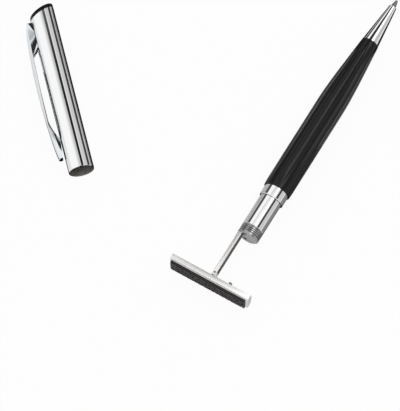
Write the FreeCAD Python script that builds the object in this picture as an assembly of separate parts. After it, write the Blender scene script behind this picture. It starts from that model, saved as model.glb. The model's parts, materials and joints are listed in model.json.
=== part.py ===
import FreeCAD, Part
import math
import os

os.makedirs("parts", exist_ok=True)

# Pocket pen stamp: a twist ballpoint pen whose rear half carries a folding text stamp.
# The pen lies on a table with its stamp folded out, and its cap lies beside it.
# Every piece is drawn on the closed pen's own axis, which is z, with the ball at z = 0.
# The stem of the stamp is on the -x side and the cap's clip is on the -x side too.
# Lengths are in millimetres and angles in degrees.

# Fits between pieces
running_clearance = 0.05
pin_clearance = 0.05
seam_gap = 0.10
ring_play = 0.15

# Refill
ball_radius = 0.35
ball_lip_ratio = 0.8
point_radius = 1.05
socket_wall = 0.12
point_cone_length = 3.4
refill_radius = 1.50
refill_wall = 0.30
refill_collar_radius = 1.80
refill_collar_length = 1.5
refill_plug_length = 1.2
tip_reach = 3.0

# Nose cone
nose_length = 16.3
nose_mouth_radius = 1.40
nose_base_radius = 3.12
nose_mouth_chamfer = 0.15
spring_seat_height = 9.5
spring_chamber_radius = 1.95
nose_stub_radius = 2.40
nose_stub_length = 7.0

# Return spring
spring_wire_width = 0.28
spring_outer_radius = 1.78
spring_turns = 3
spring_length = 6.0

# Barrel
barrel_length = 65.4
barrel_nose_radius = 3.18
barrel_shoulder_radius = 4.84
barrel_shoulder_distance = 20.8
barrel_radius = 5.10
barrel_taper_length = 27.0
barrel_end_radius = 4.97
barrel_end_taper = 2.2
bush_length = 9.0
bush_radius = 2.75
flute_count = 18
flute_depth = 0.27
flute_slope = 2.9
flute_rise = 1.2
flute_start = 3.6
flute_stop = 1.6
flute_run_out = 12.0
flute_overrun = 0.1

# Twist mechanism
mechanism_bore_radius = 3.50
sleeve_seat_depth = 29.4
sleeve_flange_length = 1.5
sleeve_roof_gap = 2.5
sleeve_radius = 2.40
sleeve_bore_radius = 1.95
refill_stroke = 5.0
twist_angle = 180.0
plunger_distance = 7.5
plunger_length = 8.0
follower_height = 2.0
follower_radius = 0.40
follower_reach = 3.30
rotor_gap = 1.0
rotor_wall = 0.95
rotor_roof = 3.0
rotor_spigot_radius = 2.90
rotor_spigot_length = 5.0
slot_end_angle = 9.0
slot_overrun = 0.3

# Band and retaining ring
band_length = 4.0
band_radius = 4.50
band_spigot_radius = 4.00
band_spigot_length = 3.0
band_bore_radius = 3.50
ring_thickness = 0.7
ring_groove_radius = 3.20
ring_opening_angle = 50.0

# Coupler that the cap slides over
coupler_radius = 4.00
coupler_length = 12.3
coupler_bore_radius = 3.42

# Collar and end disc
collar_radius = 4.03
collar_length = 3.5
collar_spigot_length = 3.0
collar_neck_radius = 3.70
collar_neck_length = 0.6
lip_groove_depth = 0.15
lip_groove_width = 0.40
lip_length = 0.75
disc_radius = 3.58
disc_seat_depth = 0.8
disc_stand = 0.35
disc_edge_chamfer = 0.22
tool_hole_radius = 0.42
tool_hole_x = -0.9
tool_hole_y = -1.4

# Cap bore and the space that everything folded into it has to keep within
cap_clearance = 0.08
cap_relief = 0.17
cap_mouth_length = 16.0
insert_clearance = 0.17

# Stem and hinge
stem_reach = 17.25
stem_inner = 2.10
stem_half_width = 2.25
stem_root_depth = 4.6
stem_root_back = 3.00
stem_root_half_width = 1.5
pin_offset = 2.80
pin_radius = 0.40
channel_half_width = 1.22
channel_start = 0.8
ear_radius = 1.00
leaf_thickness = 0.25
leaf_start = 6.5
leaf_side_gap = 0.15
leaf_press = 0.05

# Stamp plate
plate_long_arm = 15.6
plate_short_arm = 15.2
plate_half_width = 3.72
plate_thickness = 2.65
plate_crown = 0.80
plate_gap = 1.10
tongue_radius = 0.90
tongue_side_gap = 0.05
tongue_overlap = 0.1
peg_radius = 0.60
peg_root_depth = 1.0
peg_height = 1.05
peg_distance = 6.4

# Rubber die
backing_thickness = 0.30
die_margin = 0.75
die_half_width = 3.12
die_base = 0.45
die_relief = 0.55
die_rows = 4
die_bars = 3
die_bar_width = 0.88
die_row_pitch = 1.50
die_row_inset = 1.2
die_row_step = 2.0
die_bar_gap = 0.9

# Cap
cap_wall = 0.43
cap_end_clearance = 1.0
cap_plug_length = 10.0
cap_slant = 21.0
insert_edge_height = 0.55
insert_dome_height = 1.45
insert_boss_depth = 0.8
insert_edge_gap = 0.04

# Ink pad in the cap
pad_clearance = 0.10
pad_thickness = 0.70
tray_wall = 0.30
pad_stand = 0.12
pad_end_margin = 0.6
tray_end_wall = 0.5

# Clip
clip_drop = 1.4
clip_width = 4.0
clip_tip_width = 2.85
clip_arm_thickness = 1.08
clip_shoulder_stand = 1.65
clip_shoulder_length = 4.9
clip_bend_stand = 2.65
clip_crest_stand = 3.55
clip_crest_drop = 30.0
clip_heel_stand = 2.90
clip_heel_drop = 44.7
clip_tip_stand = 2.05
clip_length = 52.6
clip_tip_thickness = 1.42
clip_foot_drop = 9.4
clip_arm_drop = 12.4
clip_pad_drop = 38.0
clip_touch_drop = 45.8
clip_seat_gap = 0.10
clip_touch_gap = 0.03
clip_tab_drop = 0.9
clip_tab_height = 1.2
clip_tab_width = 2.4
clip_tab_depth = 0.9
clip_play = 0.15
clip_shoulder_blend = 0.42
clip_tail_bow = 0.12
clip_tip_bow = 0.3
clip_pad_bow = 0.47
clip_pad_thickening = 0.1

# How the open pen and its cap lie on the table
pen_turn = 44.1
cap_shift_x = -49.6
cap_shift_y = 38.2

# Heights along the pen's axis, from the ball upwards
nose_mouth_z = tip_reach
nose_base_z = nose_mouth_z + nose_length
spring_seat_z = nose_mouth_z + spring_seat_height
refill_collar_z = spring_seat_z + spring_length
barrel_shoulder_z = nose_base_z + barrel_shoulder_distance
barrel_taper_z = nose_base_z + barrel_taper_length
barrel_end_z = nose_base_z + barrel_length
sleeve_seat_z = barrel_end_z - sleeve_seat_depth
band_end_z = barrel_end_z + band_length
coupler_z = band_end_z + seam_gap
collar_z = coupler_z + coupler_length
collar_end_z = collar_z + collar_length
disc_z = collar_end_z - disc_seat_depth
disc_end_z = collar_end_z + disc_stand
pin_z = disc_end_z + stem_reach
plate_back_z = pin_z + plate_gap
plate_front_z = plate_back_z + plate_thickness
die_z = plate_front_z + backing_thickness
band_spigot_z = barrel_end_z - band_spigot_length
ring_z = band_spigot_z - ring_play - ring_thickness
ring_chamber_z = ring_z - ring_play
rotor_z = sleeve_seat_z + sleeve_flange_length + rotor_gap
rotor_end_z = barrel_end_z + seam_gap
sleeve_end_z = rotor_end_z - rotor_roof - sleeve_roof_gap
plunger_z = rotor_z + plunger_distance
follower_z = plunger_z + follower_height

# Radii that follow from the ones above
nose_bore_radius = point_radius + running_clearance
rotor_bore_radius = sleeve_radius + running_clearance
rotor_radius = rotor_bore_radius + rotor_wall
coupler_stub_radius = band_bore_radius - running_clearance
cap_bore_radius = coupler_radius + cap_clearance
cap_inner_radius = cap_bore_radius + cap_relief
cap_radius = cap_bore_radius + cap_wall
insert_radius = cap_bore_radius - insert_clearance

# Places of the folded stamp, measured from the pen's axis towards +x
hinge_x = -pin_offset
folded_die_x = hinge_x + plate_gap + plate_thickness + backing_thickness + die_base + die_relief
pad_face_x = folded_die_x + pad_clearance
leaf_face_x = hinge_x + plate_gap - peg_height - leaf_press
channel_floor_x = leaf_face_x - leaf_thickness

# Heights inside the cap, with the cap on the pen
cap_mouth_z = band_end_z + seam_gap
plug_floor_z = pin_z + plate_long_arm + cap_end_clearance
cap_low_z = plug_floor_z + cap_plug_length
cap_centre_z = cap_low_z + cap_radius * math.tan(math.radians(cap_slant))
clip_top_z = cap_low_z - clip_drop
pad_low_z = pin_z - plate_short_arm + die_margin - pad_end_margin
pad_high_z = pin_z + plate_long_arm - die_margin + pad_end_margin


def point(x, y, z):
    return FreeCAD.Vector(x, y, z)


def turned(outline):
    """A solid of revolution from (radius, height) corners, in order round the outline."""
    corners = [point(radius, 0, height) for radius, height in outline]
    face = Part.Face(Part.makePolygon(corners + corners[:1]))
    return face.revolve(point(0, 0, 0), point(0, 0, 1), 360)


def rod(radius, low, high):
    return Part.makeCylinder(radius, high - low, point(0, 0, low))


def tube(outer, inner, low, high):
    return rod(outer, low, high).cut(rod(inner, low - 1, high + 1))


def block(x_low, x_high, y_low, y_high, z_low, z_high):
    return Part.makeBox(x_high - x_low, y_high - y_low, z_high - z_low, point(x_low, y_low, z_low))


def cross_pin(radius, x, y_low, y_high, z):
    """A round pin or hole along y."""
    return Part.makeCylinder(radius, y_high - y_low, point(x, y_low, z), point(0, 1, 0))


def make_tip_ball():
    return Part.makeSphere(ball_radius, point(0, 0, ball_radius))


def make_refill_tip():
    """The metal point: a socket for the ball, a cone, and a straight neck up to the collar."""
    lip_z = ball_radius * ball_lip_ratio
    outline = [(0, 2 * ball_radius), (ball_radius, 2 * ball_radius), (ball_radius, lip_z)]
    outline += [(ball_radius + socket_wall, lip_z), (point_radius, point_cone_length)]
    outline += [(point_radius, refill_collar_z), (0, refill_collar_z)]
    return turned(outline)


def make_refill_collar():
    """The shoulder that the return spring pushes on."""
    return rod(refill_collar_radius, refill_collar_z, refill_collar_z + refill_collar_length)


def make_refill_tube():
    low = refill_collar_z + refill_collar_length
    return tube(refill_radius, refill_radius - refill_wall, low, plunger_z - refill_plug_length)


def make_refill_plug():
    return rod(refill_radius, plunger_z - refill_plug_length, plunger_z)


def make_plunger():
    """The slider that rests on the refill and carries the follower pin."""
    radius = sleeve_bore_radius - running_clearance
    body = rod(radius, plunger_z, plunger_z + plunger_length)
    return body.cut(cross_pin(follower_radius, 0, -radius - 1, radius + 1, follower_z))


def make_follower_pin():
    return cross_pin(follower_radius, 0, -follower_reach, follower_reach, follower_z)


def make_return_spring():
    """A flat wire coil between the nose cone's seat and the refill's collar.

    Each half turn is an arc in a plane that leans one way and then the other, so that the
    coil climbs evenly and its ends meet.
    """
    mean_radius = spring_outer_radius - spring_wire_width / 2
    rise = (spring_length - spring_wire_width - 2 * seam_gap) / (2 * spring_turns)
    arc_radius = math.hypot(mean_radius, rise / 2)
    lean = math.degrees(math.atan2(rise / 2, mean_radius))
    half = spring_wire_width / 2
    corners = [point(arc_radius - half, 0, -half), point(arc_radius + half, 0, -half),
               point(arc_radius + half, 0, half), point(arc_radius - half, 0, half)]
    section = Part.Face(Part.makePolygon(corners + corners[:1]))
    first_z = spring_seat_z + seam_gap + half + rise / 2
    half_turns = []
    for index in range(2 * spring_turns):
        arc = section.revolve(point(0, 0, 0), point(0, 0, 1), 180)
        arc.rotate(point(0, 0, 0), point(0, 1, 0), lean)
        arc.rotate(point(0, 0, 0), point(0, 0, 1), 180 * index)
        arc.translate(point(0, 0, first_z + index * rise))
        half_turns.append(arc)
    return half_turns[0].fuse(half_turns[1:])


def make_nose_cone():
    """The chrome cone, with a spring chamber inside and a threaded stub behind."""
    chamfer = nose_mouth_chamfer
    outline = [(nose_bore_radius, nose_mouth_z), (nose_mouth_radius - chamfer, nose_mouth_z)]
    outline += [(nose_mouth_radius, nose_mouth_z + chamfer), (nose_base_radius, nose_base_z)]
    outline += [(nose_stub_radius, nose_base_z), (nose_stub_radius, nose_base_z + nose_stub_length)]
    outline += [(spring_chamber_radius, nose_base_z + nose_stub_length)]
    outline += [(spring_chamber_radius, spring_seat_z), (nose_bore_radius, spring_seat_z)]
    return turned(outline)


def make_thread_bush():
    return tube(bush_radius, nose_stub_radius, nose_base_z, nose_base_z + bush_length)


def flute_wedge(start, end):
    """A length of flute: a wide V whose bottom runs straight from start to end."""
    half = flute_slope * flute_rise
    corners = [start, start + point(flute_rise, half, 0), start + point(flute_rise, -half, 0)]
    return Part.Face(Part.makePolygon(corners + corners[:1])).extrude(end - start)


def flute_cutter():
    """One flute: up the taper, along the straight part, and out again before the barrel's end."""
    taper = (barrel_shoulder_radius - barrel_nose_radius) / barrel_shoulder_distance
    bottom = barrel_radius - flute_depth
    front = point(barrel_nose_radius + taper * flute_start, 0, nose_base_z + flute_start)
    knee = point(bottom, 0, barrel_taper_z)
    turn = point(bottom, 0, barrel_end_z - flute_stop - flute_run_out)
    back = point(barrel_radius, 0, barrel_end_z - flute_stop)
    before_front = front + (front - knee) * flute_overrun
    behind_back = back + (back - turn) * flute_overrun
    return [flute_wedge(before_front, knee), flute_wedge(knee, turn), flute_wedge(turn, behind_back)]


def make_barrel():
    """The black barrel: two tapers that run into a straight part, stepped bores, and flutes along it."""
    outline = [(barrel_nose_radius, nose_base_z), (barrel_shoulder_radius, barrel_shoulder_z)]
    outline += [(barrel_radius, barrel_taper_z), (barrel_radius, barrel_end_z - barrel_end_taper)]
    outline += [(barrel_end_radius, barrel_end_z), (band_spigot_radius, barrel_end_z)]
    outline += [(band_spigot_radius, ring_chamber_z), (mechanism_bore_radius, ring_chamber_z)]
    outline += [(mechanism_bore_radius, sleeve_seat_z), (bush_radius, sleeve_seat_z)]
    outline += [(bush_radius, nose_base_z)]
    flutes = []
    for cutter in flute_cutter():
        for index in range(flute_count):
            flute = cutter.copy()
            flute.rotate(point(0, 0, 0), point(0, 0, 1), index * 360 / flute_count)
            flutes.append(flute)
    return turned(outline).cut(flutes)


def make_guide_sleeve():
    """The fixed sleeve whose two straight slots keep the follower pin from turning."""
    outline = [(sleeve_bore_radius, sleeve_seat_z), (mechanism_bore_radius, sleeve_seat_z)]
    outline += [(mechanism_bore_radius, sleeve_seat_z + sleeve_flange_length)]
    outline += [(sleeve_radius, sleeve_seat_z + sleeve_flange_length), (sleeve_radius, sleeve_end_z)]
    outline += [(sleeve_bore_radius, sleeve_end_z)]
    half_slot = follower_radius + running_clearance
    slot = block(-half_slot, half_slot, -sleeve_radius - 1, sleeve_radius + 1,
                 follower_z - half_slot, follower_z + refill_stroke + half_slot)
    return turned(outline).cut(slot)


def helical_slot():
    """The cutter for one cam slot: it climbs by the refill's stroke over the twist."""
    pitch = refill_stroke * 360 / twist_angle
    start_angle = -slot_end_angle
    swept_angle = twist_angle + 2 * slot_end_angle
    height = pitch * swept_angle / 360
    slope = math.atan(pitch / (2 * math.pi * sleeve_radius))
    half_height = (follower_radius + running_clearance) / math.cos(slope)
    inner = sleeve_radius - slot_overrun
    outer = rotor_radius + slot_overrun
    path = Part.Wire(Part.makeHelix(pitch, height, (inner + outer) / 2).Edges)
    corners = [point(inner, 0, -half_height), point(outer, 0, -half_height)]
    corners += [point(outer, 0, half_height), point(inner, 0, half_height)]
    section = Part.makePolygon(corners + corners[:1])
    cutter = path.makePipeShell([section], True, True)
    cutter.translate(point(0, 0, follower_z + pitch * start_angle / 360))
    cutter.rotate(point(0, 0, 0), point(0, 0, 1), start_angle)
    return cutter


def make_rotor():
    """The cam tube. It turns with the coupler and drives the follower pin up its two slots."""
    groove_end_z = ring_z + ring_thickness
    outline = [(0, rotor_end_z - rotor_roof), (rotor_bore_radius, rotor_end_z - rotor_roof)]
    outline += [(rotor_bore_radius, rotor_z), (rotor_radius, rotor_z), (rotor_radius, ring_z)]
    outline += [(ring_groove_radius, ring_z), (ring_groove_radius, groove_end_z)]
    outline += [(rotor_radius, groove_end_z), (rotor_radius, rotor_end_z)]
    outline += [(rotor_spigot_radius, rotor_end_z)]
    outline += [(rotor_spigot_radius, rotor_end_z + rotor_spigot_length)]
    outline += [(0, rotor_end_z + rotor_spigot_length)]
    body = turned(outline)
    for half_turn in (90, 270):
        cutter = helical_slot()
        cutter.rotate(point(0, 0, 0), point(0, 0, 1), half_turn)
        body = body.cut(cutter)
    return body


def make_retaining_ring():
    """The open spring ring that keeps the rotor from being pulled out of the barrel."""
    outer = band_spigot_radius - 2 * running_clearance
    ring = tube(outer, ring_groove_radius, ring_z, ring_z + ring_thickness)
    half = math.radians(ring_opening_angle / 2)
    reach = 2 * outer
    wedge = Part.makePolygon([point(0, 0, ring_z - 1),
                              point(reach * math.cos(half), reach * math.sin(half), ring_z - 1),
                              point(reach * math.cos(half), -reach * math.sin(half), ring_z - 1),
                              point(0, 0, ring_z - 1)])
    return ring.cut(Part.Face(wedge).extrude(point(0, 0, ring_thickness + 2)))


def make_band():
    """The chrome band that ends the barrel and gives the coupler its bearing."""
    outline = [(band_radius, barrel_end_z), (band_radius, band_end_z)]
    outline += [(band_bore_radius, band_end_z), (band_bore_radius, band_spigot_z)]
    outline += [(band_spigot_radius, band_spigot_z), (band_spigot_radius, barrel_end_z)]
    return turned(outline)


def make_coupler_tube():
    """The chrome tube behind the band, turned by hand, which the cap slides over."""
    floor_z = rotor_end_z + rotor_spigot_length
    outline = [(rotor_spigot_radius, rotor_end_z), (coupler_stub_radius, rotor_end_z)]
    outline += [(coupler_stub_radius, coupler_z), (coupler_radius, coupler_z), (coupler_radius, collar_z)]
    outline += [(coupler_bore_radius, collar_z), (coupler_bore_radius, floor_z)]
    outline += [(rotor_spigot_radius, floor_z)]
    return turned(outline)


def stem_root_pocket(low, high):
    return block(-stem_root_back, -stem_inner, -stem_root_half_width, stem_root_half_width, low, high)


def make_ridged_collar():
    """The grey collar: a neck, a lip behind a groove, a pocket for the stem and a recess for the disc."""
    neck_end_z = collar_z + collar_neck_length
    groove_z = collar_end_z - lip_length - lip_groove_width
    outline = [(0, collar_z - collar_spigot_length), (coupler_bore_radius, collar_z - collar_spigot_length)]
    outline += [(coupler_bore_radius, collar_z), (collar_neck_radius, collar_z)]
    outline += [(collar_neck_radius, neck_end_z), (collar_radius, neck_end_z), (collar_radius, groove_z)]
    outline += [(collar_radius - lip_groove_depth, groove_z + lip_groove_width / 2)]
    outline += [(collar_radius, groove_z + lip_groove_width), (collar_radius, collar_end_z)]
    outline += [(disc_radius, collar_end_z), (disc_radius, disc_z), (0, disc_z)]
    return turned(outline).cut(stem_root_pocket(disc_end_z - stem_root_depth, disc_z + 1))


def make_end_disc():
    """The grey disc that closes the collar, with a slot for the stem and a small tool hole."""
    outline = [(0, disc_z), (disc_radius, disc_z), (disc_radius, disc_end_z - disc_edge_chamfer)]
    outline += [(disc_radius - disc_edge_chamfer, disc_end_z), (0, disc_end_z)]
    hole = Part.makeCylinder(tool_hole_radius, disc_end_z - disc_z + 2,
                             point(tool_hole_x, tool_hole_y, disc_z - 1))
    return turned(outline).cut([stem_root_pocket(disc_z - 1, disc_end_z + 1), hole])


def make_stem():
    """The bar on the disc's rim: round-backed, channelled inside, forked round the hinge pin."""
    ear_side = hinge_x + stem_inner
    ear_side_z = pin_z + math.sqrt(ear_radius ** 2 - ear_side ** 2)
    slope = (math.radians(90) + math.atan2(ear_side_z - pin_z, -ear_side)) / 2
    ear_end = point(hinge_x, 0, pin_z + ear_radius)
    ear_middle = point(hinge_x + ear_radius * math.cos(slope), 0, pin_z + ear_radius * math.sin(slope))
    corners = [ear_end, point(-insert_radius - 1, 0, pin_z + ear_radius),
               point(-insert_radius - 1, 0, disc_end_z), point(-stem_inner, 0, disc_end_z),
               point(-stem_inner, 0, ear_side_z)]
    edges = [Part.makeLine(a, b) for a, b in zip(corners, corners[1:])]
    edges.append(Part.Arc(corners[-1], ear_middle, ear_end).toShape())
    side = Part.Face(Part.Wire(edges))
    side.translate(point(0, -stem_half_width, 0))
    bar = side.extrude(point(0, 2 * stem_half_width, 0)).common(rod(insert_radius, 0, pin_z + 2 * ear_radius))
    bar = bar.fuse(stem_root_pocket(disc_end_z - stem_root_depth, disc_end_z))
    fork_z = pin_z - tongue_radius - 2 * running_clearance
    channel = block(channel_floor_x, 0, -channel_half_width, channel_half_width,
                    disc_end_z + channel_start, fork_z + ear_radius)
    fork = block(-cap_radius, 0, -channel_half_width, channel_half_width, fork_z, pin_z + 2 * ear_radius)
    pin_hole = cross_pin(pin_radius, hinge_x, -cap_radius, cap_radius, pin_z)
    return bar.cut(channel).cut(fork).cut(pin_hole)


def make_hinge_pin():
    return cross_pin(pin_radius, hinge_x, -stem_half_width, stem_half_width, pin_z)


def make_leaf_spring():
    """The steel leaf in the stem's channel that presses on the hinge and stops the peg."""
    half_width = channel_half_width - leaf_side_gap
    fork_z = pin_z - tongue_radius - 2 * running_clearance
    return block(channel_floor_x, leaf_face_x, -half_width, half_width, disc_end_z + leaf_start, fork_z)


def make_stamp_plate():
    """The light metal plate, flat in front and crowned behind, with its hinge tongue."""
    crown_radius = (plate_half_width ** 2 + plate_crown ** 2) / (2 * plate_crown)
    edge_z = plate_back_z + plate_crown
    x_low = hinge_x - plate_long_arm
    back = Part.Arc(point(x_low, -plate_half_width, edge_z), point(x_low, 0, plate_back_z),
                    point(x_low, plate_half_width, edge_z)).toShape()
    corners = [point(x_low, plate_half_width, edge_z), point(x_low, plate_half_width, plate_front_z),
               point(x_low, -plate_half_width, plate_front_z), point(x_low, -plate_half_width, edge_z)]
    sides = [Part.makeLine(a, b) for a, b in zip(corners, corners[1:])]
    section = Part.Face(Part.Wire([back] + sides))
    plate = section.extrude(point(plate_long_arm + plate_short_arm, 0, 0))
    half_tongue = channel_half_width - tongue_side_gap
    tongue_base_z = plate_back_z + crown_radius - math.sqrt(crown_radius ** 2 - half_tongue ** 2)
    tongue = cross_pin(tongue_radius, hinge_x, -half_tongue, half_tongue, pin_z)
    tongue = tongue.fuse(block(hinge_x - tongue_radius, hinge_x + tongue_radius,
                               -half_tongue, half_tongue, pin_z, tongue_base_z + tongue_overlap))
    plate = plate.fuse(tongue)
    pin_hole = cross_pin(pin_radius + pin_clearance, hinge_x, -cap_radius, cap_radius, pin_z)
    return plate.cut([pin_hole, make_stop_peg()]).removeSplitter()


def make_stop_peg():
    """The small peg on the plate's back that meets the leaf when the stamp is folded."""
    return Part.makeCylinder(peg_radius, peg_height + peg_root_depth,
                             point(hinge_x + peg_distance, 0, plate_back_z - peg_height))


def die_block(low, high):
    return block(hinge_x - plate_long_arm + die_margin, hinge_x + plate_short_arm - die_margin,
                 -die_half_width, die_half_width, low, high)


def make_die_backing():
    return die_block(plate_front_z, die_z)


def make_text_die():
    """The rubber die: a thin sheet with plain raised bars in rows, and no lettering."""
    die = die_block(die_z, die_z + die_base)
    left = hinge_x - plate_long_arm + die_margin
    length = plate_long_arm + plate_short_arm - 2 * die_margin
    for row in range(die_rows):
        y = (row - (die_rows - 1) / 2) * die_row_pitch
        margin = die_row_inset + die_row_step * (row % 2)
        bars = die_bars + row % 2
        width = (length - 2 * margin - (bars - 1) * die_bar_gap) / bars
        for index in range(bars):
            x = left + margin + index * (width + die_bar_gap)
            bar = block(x, x + width, y - die_bar_width / 2, y + die_bar_width / 2,
                        die_z + die_base, die_z + die_base + die_relief)
            die = die.fuse(bar)
    return die.removeSplitter()


def slant(shape, depth=0.0):
    """Turns a shape drawn on z = 0 onto the cap's slanted end, depth below it."""
    shape.translate(point(0, 0, -depth))
    shape.rotate(point(0, 0, 0), point(0, 1, 0), -cap_slant)
    shape.translate(point(0, 0, cap_centre_z))
    return shape


def above_slant(depth=0.0):
    size = 6 * cap_radius
    return slant(block(-size, size, -size, size, 0, size), depth)


def clip_tab(play=0.0):
    """The tab that goes through the cap's wall into the plug, grown by its play for the hole."""
    middle = clip_top_z - clip_tab_drop
    half = clip_tab_height / 2 + play
    half_width = clip_tab_width / 2 + play
    inner = cap_bore_radius - clip_tab_depth - play
    return block(-cap_radius - clip_arm_thickness / 2, -inner, -half_width, half_width,
                 middle - half, middle + half)


def make_cap_tube():
    """The chrome cap: a straight tube, bored to fit at its mouth, cut off at a slant at its closed end."""
    high = cap_centre_z + 2 * cap_radius
    outline = [(cap_bore_radius, cap_mouth_z), (cap_radius, cap_mouth_z), (cap_radius, high)]
    outline += [(cap_inner_radius, high), (cap_inner_radius, cap_mouth_z + cap_mouth_length)]
    outline += [(cap_bore_radius, cap_mouth_z + cap_mouth_length)]
    return turned(outline).cut([above_slant(), clip_tab(clip_play)])


def make_cap_plug():
    """The plug in the cap's closed end that holds the insert and the clip's tab."""
    plug = rod(cap_inner_radius, plug_floor_z, cap_centre_z + 2 * cap_radius)
    return plug.cut([above_slant(insert_boss_depth), clip_tab(clip_play)])


def make_top_insert():
    """The glossy black insert, a low dome on the slanted end."""
    radius = cap_radius - insert_edge_gap
    long_radius = radius / math.cos(math.radians(cap_slant))
    rise = insert_dome_height - insert_edge_height
    dome_radius = (long_radius ** 2 + rise ** 2) / (2 * rise)
    high = cap_centre_z + 2 * cap_radius
    dome_centre = point(0, 0, insert_dome_height - dome_radius)
    dome = slant(Part.makeSphere(dome_radius, dome_centre, point(0, 1, 0)))
    head = rod(radius, cap_low_z - 1, high).common(above_slant()).common(dome)
    boss = rod(cap_inner_radius, cap_low_z - 2 * cap_radius, high)
    boss = boss.common(above_slant(insert_boss_depth)).cut(above_slant())
    return head.fuse(boss).removeSplitter()


def chord_segment(radius, x_low, low, high):
    """The part of a rod that lies beyond a flat at x_low."""
    return rod(radius, low, high).common(block(x_low, 2 * radius, -2 * radius, 2 * radius, low, high))


def make_ink_pad():
    radius = cap_inner_radius - tray_wall
    pad = chord_segment(radius, pad_face_x, pad_low_z, pad_high_z)
    return pad.cut(block(pad_face_x + pad_thickness, 2 * radius, -radius, radius, pad_low_z - 1, pad_high_z + 1))


def make_ink_tray():
    """The trough along the cap's inside, open towards the folded die."""
    low = pad_low_z - tray_end_wall
    high = min(pad_high_z + tray_end_wall, plug_floor_z)
    tray = chord_segment(cap_inner_radius, pad_face_x + pad_stand, low, high)
    return tray.cut(make_ink_pad())


def clip_side(stand, drop):
    """A corner of the clip's side view: how far it stands off the cap, and how far below its top."""
    return point(-cap_radius - stand, 0, clip_top_z - drop)


def make_clip():
    """The chrome clip: a solid root on the cap's wall, a bowed arm and a lens-shaped pad."""
    root_top = clip_side(clip_shoulder_stand, 0)
    shoulder = clip_side(clip_bend_stand, clip_shoulder_length)
    shoulder_stand = clip_bend_stand - (clip_bend_stand - clip_shoulder_stand) * clip_shoulder_blend
    shoulder_middle = clip_side(shoulder_stand, clip_shoulder_length * clip_shoulder_blend)
    crest = clip_side(clip_crest_stand, clip_crest_drop)
    heel = clip_side(clip_heel_stand, clip_heel_drop)
    tip = clip_side(clip_tip_stand, clip_length)
    tail_middle = clip_side((clip_heel_stand + clip_tip_stand) / 2 + clip_tail_bow,
                            (clip_heel_drop + clip_length) / 2)
    tip_inner = clip_side(clip_tip_stand - clip_tip_thickness, clip_length)
    tip_middle = clip_side(clip_tip_stand - clip_tip_thickness / 2, clip_length + clip_tip_bow)
    touch = clip_side(clip_touch_gap, clip_touch_drop)
    pad_start = clip_side(clip_crest_stand - clip_arm_thickness + clip_pad_thickening, clip_pad_drop)
    pad_middle = clip_side(clip_crest_stand * clip_pad_bow, (clip_pad_drop + clip_touch_drop) / 2)
    arm_start = clip_side(clip_bend_stand - clip_arm_thickness / 2, clip_arm_drop)
    arm_middle = clip_side(clip_crest_stand - clip_arm_thickness, (clip_arm_drop + clip_pad_drop) / 2)
    foot = clip_side(-cap_wall, clip_foot_drop)
    root_inner = clip_side(-cap_wall, 0)
    edges = [Part.makeLine(root_inner, root_top)]
    edges += [Part.Arc(root_top, shoulder_middle, shoulder).toShape()]
    edges += [Part.Arc(shoulder, crest, heel).toShape(), Part.Arc(heel, tail_middle, tip).toShape()]
    edges += [Part.Arc(tip, tip_middle, tip_inner).toShape(), Part.makeLine(tip_inner, touch)]
    edges += [Part.Arc(touch, pad_middle, pad_start).toShape()]
    edges += [Part.Arc(pad_start, arm_middle, arm_start).toShape()]
    edges += [Part.makeLine(arm_start, foot), Part.makeLine(foot, root_inner)]
    side = Part.Face(Part.Wire(edges))
    side.translate(point(0, -clip_width / 2, 0))
    body = side.extrude(point(0, clip_width, 0))
    low = clip_top_z - clip_length - 1
    depth = cap_radius + 2 * clip_crest_stand
    plan_corners = [point(-depth, -clip_width / 2, clip_top_z), point(-depth, clip_width / 2, clip_top_z),
                    point(-depth, clip_tip_width / 2, low), point(-depth, -clip_tip_width / 2, low)]
    plan = Part.Face(Part.makePolygon(plan_corners + plan_corners[:1])).extrude(point(depth, 0, 0))
    body = body.common(plan)
    body = body.cut(rod(cap_radius + clip_seat_gap, clip_top_z - clip_foot_drop - 2, clip_top_z + 1))
    body = body.cut(rod(cap_radius + clip_touch_gap, low - 1, clip_top_z - clip_arm_drop))
    return body.fuse(clip_tab()).removeSplitter()


def lay_pen(shape):
    """Lays the pen on the table, nose away from the stamp, at its angle to the cap."""
    laid = shape.copy()
    laid.translate(point(0, 0, -disc_end_z))
    laid.rotate(point(0, 0, 0), point(1, 0, 0), 90)
    laid.rotate(point(0, 0, 0), point(0, 0, 1), -pen_turn)
    laid.translate(point(0, 0, barrel_radius))
    return laid


def lay_cap(shape):
    """Lays the cap on its side next to the pen, with the clip out to the left."""
    laid = shape.copy()
    laid.translate(point(0, 0, -cap_mouth_z))
    laid.rotate(point(0, 0, 0), point(1, 0, 0), -90)
    laid.translate(point(cap_shift_x, cap_shift_y, cap_radius))
    return laid


pen_pieces = {
    "tip_ball": make_tip_ball,
    "refill_tip": make_refill_tip,
    "refill_collar": make_refill_collar,
    "refill_tube": make_refill_tube,
    "refill_plug": make_refill_plug,
    "plunger": make_plunger,
    "follower_pin": make_follower_pin,
    "return_spring": make_return_spring,
    "nose_cone": make_nose_cone,
    "thread_bush": make_thread_bush,
    "barrel": make_barrel,
    "guide_sleeve": make_guide_sleeve,
    "rotor": make_rotor,
    "retaining_ring": make_retaining_ring,
    "band": make_band,
    "coupler_tube": make_coupler_tube,
    "ridged_collar": make_ridged_collar,
    "end_disc": make_end_disc,
    "stem": make_stem,
    "hinge_pin": make_hinge_pin,
    "leaf_spring": make_leaf_spring,
    "stamp_plate": make_stamp_plate,
    "stop_peg": make_stop_peg,
    "die_backing": make_die_backing,
    "text_die": make_text_die,
}

cap_pieces = {
    "cap_tube": make_cap_tube,
    "cap_plug": make_cap_plug,
    "top_insert": make_top_insert,
    "ink_tray": make_ink_tray,
    "ink_pad": make_ink_pad,
    "clip": make_clip,
}

laid_pieces = {name: lay_pen(make()) for name, make in pen_pieces.items()}
laid_pieces.update({name: lay_cap(make()) for name, make in cap_pieces.items()})

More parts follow.
